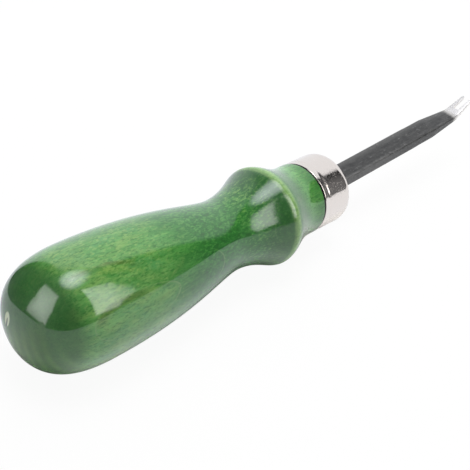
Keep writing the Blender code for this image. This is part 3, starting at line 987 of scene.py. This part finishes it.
def softbox(name, corners, radiance):
    """A card that is brightest in its middle and fades out across its rim."""
    rim = [toward(*corner[:2], CARD_DISTANCE) for corner in corners]
    middle = sum(rim, Vector()) / len(rim)
    bm = bmesh.new()
    share = bm.verts.layers.float.new("share")
    heart = bm.verts.new(middle)
    heart[share] = 1.0
    inner = [bm.verts.new(middle + (point - middle) * (1 - SOFTBOX_FADE)) for point in rim]
    outer = [bm.verts.new(middle + (point - middle) * (1 + SOFTBOX_FADE)) for point in rim]
    for vert, corner in zip(inner, corners):
        vert[share] = corner[2]
    for index in range(len(rim)):
        after = (index + 1) % len(rim)
        bm.faces.new((heart, inner[index], inner[after]))
        bm.faces.new((inner[index], inner[after], outer[after], outer[index]))
    tree, glow = card(name, bm, radiance)
    fade = add_node(tree, "ShaderNodeAttribute", attribute_name="share").outputs["Fac"]
    fade = remap(tree, fade, 0.0, 1.0, ease=True)
    clear = add_node(tree, "ShaderNodeBsdfTransparent").outputs["BSDF"]
    mixed = add_node(tree, "ShaderNodeMixShader", {0: fade, 1: clear, 2: glow.outputs["Emission"]})
    tree.links.new(mixed.outputs["Shader"], tree.nodes["Material Output"].inputs["Surface"])


def overhead_disc(azimuth, elevation, reach, edge, core):
    """A round lamp seen in reflections: bright in its core and soft towards its edge."""
    middle = toward(azimuth, elevation, DISC_DISTANCE)
    radius = DISC_DISTANCE * math.tan(math.radians(reach))
    facing = (toward(0.0, 0.0, 0.0) - middle).to_track_quat("Z", "Y").to_matrix().to_4x4()
    bm = bmesh.new()
    bmesh.ops.create_circle(bm, cap_ends=True, radius=radius, segments=DISC_SEGMENTS,
                            matrix=Matrix.Translation(middle) @ facing)
    tree, glow = card("overhead_disc", bm, edge)
    place = add_node(tree, "ShaderNodeTexCoord").outputs["Object"]
    away = add_node(tree, "ShaderNodeVectorMath", {0: place, 1: middle}, operation="DISTANCE")
    away = away.outputs["Value"]
    soft = remap(tree, away, radius, DISC_CORE * radius, ROOM_RADIANCE, edge, ease=True)
    hot = remap(tree, away, DISC_CORE * radius, 0.0, 0.0, core - edge, ease=True)
    tree.links.new(maths(tree, "ADD", soft, hot), glow.inputs["Strength"])
    glow.inputs["Color"].default_value = (*COOL_WHITE, 1.0)


def make_room():
    """A dim room around a white backdrop, above the table's edge."""
    bm = bmesh.new()
    columns = []
    for step in range(ROOM_COLUMNS):
        azimuth = 360.0 * step / ROOM_COLUMNS
        low = TABLE_EDGE - TABLE_DIP * math.cos(math.radians(azimuth - TABLE_LOW))
        heights = [low + (ROOM_TOP - low) * row / ROOM_ROWS for row in range(ROOM_ROWS + 1)]
        columns.append([bm.verts.new(toward(azimuth, height, ROOM_DISTANCE)) for height in heights])
    for column, following in zip(columns, columns[1:] + columns[:1]):
        for row in range(ROOM_ROWS):
            bm.faces.new((column[row], following[row], following[row + 1], column[row + 1]))
    tree, glow = card("dim_room", bm, ROOM_RADIANCE)

    # Angles from the backdrop's middle
    roll = Matrix.Rotation(math.radians(STUDIO_ROLL), 3, "X")
    turn = roll @ Matrix.Rotation(math.radians(BACKDROP_MIDDLE), 3, "Z")
    point = add_node(tree, "ShaderNodeTexCoord").outputs["Object"]
    seen = add_node(tree, "ShaderNodeMapping", {"Vector": point, "Location": toward(0.0, 0.0, 0.0),
                                                "Rotation": turn.to_euler()}, vector_type="TEXTURE")
    split = add_node(tree, "ShaderNodeSeparateXYZ", {"Vector": seen.outputs["Vector"]}).outputs
    azimuth = maths(tree, "ABSOLUTE", maths(tree, "ARCTAN2", split["Y"], split["X"]))
    elevation = maths(tree, "ARCSINE", maths(tree, "DIVIDE", split["Z"], ROOM_DISTANCE))

    # The backdrop's outline is a rounded rectangle, softer on the camera's side
    aside = maths(tree, "POWER", maths(tree, "DIVIDE", azimuth, math.radians(BACKDROP_REACH)), 6.0)
    camera_side = maths(tree, "LESS_THAN", split["Y"], 0.0)
    above = maths(tree, "POWER", maths(tree, "DIVIDE", elevation, math.radians(BACKDROP_TOP)),
                  remap(tree, camera_side, 0.0, 1.0, 2.0, 3.0))
    outline = maths(tree, "ADD", aside, above)
    softness = remap(tree, camera_side, 0.0, 1.0, 0.25, 0.40)
    backdrop = remap(tree, outline, maths(tree, "ADD", 1.0, softness), maths(tree, "SUBTRACT", 1.0, softness),
                     ease=True)
    room = remap(tree, azimuth, *(math.radians(side) for side in ROOM_SIDE), ROOM_SHADE, ROOM_RADIANCE,
                 ease=True)
    tree.links.new(maths(tree, "MAXIMUM", room, backdrop), glow.inputs["Strength"])
    glow.inputs["Color"].default_value = (*COOL_WHITE, 1.0)


def make_studio():
    make_world()
    make_floor()
    make_room()
    softbox("left_softbox", LEFT_SOFTBOX, radiance=4.5)
    softbox("right_softbox", RIGHT_SOFTBOX, radiance=4.45)
    overhead_disc(azimuth=-54, elevation=74.5, reach=20, edge=4.9, core=6.9)
    lamp("overhead", azimuth=-57, elevation=77, distance=0.70, width=0.40, height=0.40, radiance=5.0,
         shape="DISK")
    lamp("overhead_fill", azimuth=-57, elevation=77, distance=0.80, width=0.90, height=0.90, radiance=1.3,
         shape="DISK")
    lamp("lit_backdrop", azimuth=22, elevation=32, distance=1.0, width=1.2, height=0.9, radiance=2.0)


def make_camera():
    data = bpy.data.cameras.new("camera")
    data.sensor_width = SENSOR_WIDTH
    data.lens = CAMERA_LENS
    data.clip_start = CLIP_START
    camera = bpy.data.objects.new("camera", data)
    bpy.context.collection.objects.link(camera)
    turn = Euler([math.radians(angle) for angle in CAMERA_TURN])
    camera.matrix_world = tool @ Matrix.Translation(CAMERA_PLACE) @ turn.to_matrix().to_4x4()
    bpy.context.scene.camera = camera


def main():
    make_handle(stained_wood())
    make_ferrule(nickel_plate())
    make_blade(blackened_steel())
    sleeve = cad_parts["tang_adhesive"]
    sleeve.data.materials.clear()
    sleeve.data.materials.append(amber_resin())
    make_studio()
    make_camera()
    bpy.context.scene.view_settings.view_transform = "Standard"


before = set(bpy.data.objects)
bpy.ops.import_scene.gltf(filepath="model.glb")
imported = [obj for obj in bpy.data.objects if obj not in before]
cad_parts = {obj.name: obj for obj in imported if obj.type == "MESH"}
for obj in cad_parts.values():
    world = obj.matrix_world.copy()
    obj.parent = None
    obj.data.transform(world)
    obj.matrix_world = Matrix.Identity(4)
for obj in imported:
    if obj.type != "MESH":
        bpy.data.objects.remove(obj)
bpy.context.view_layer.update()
tool = tool_frame()
main()
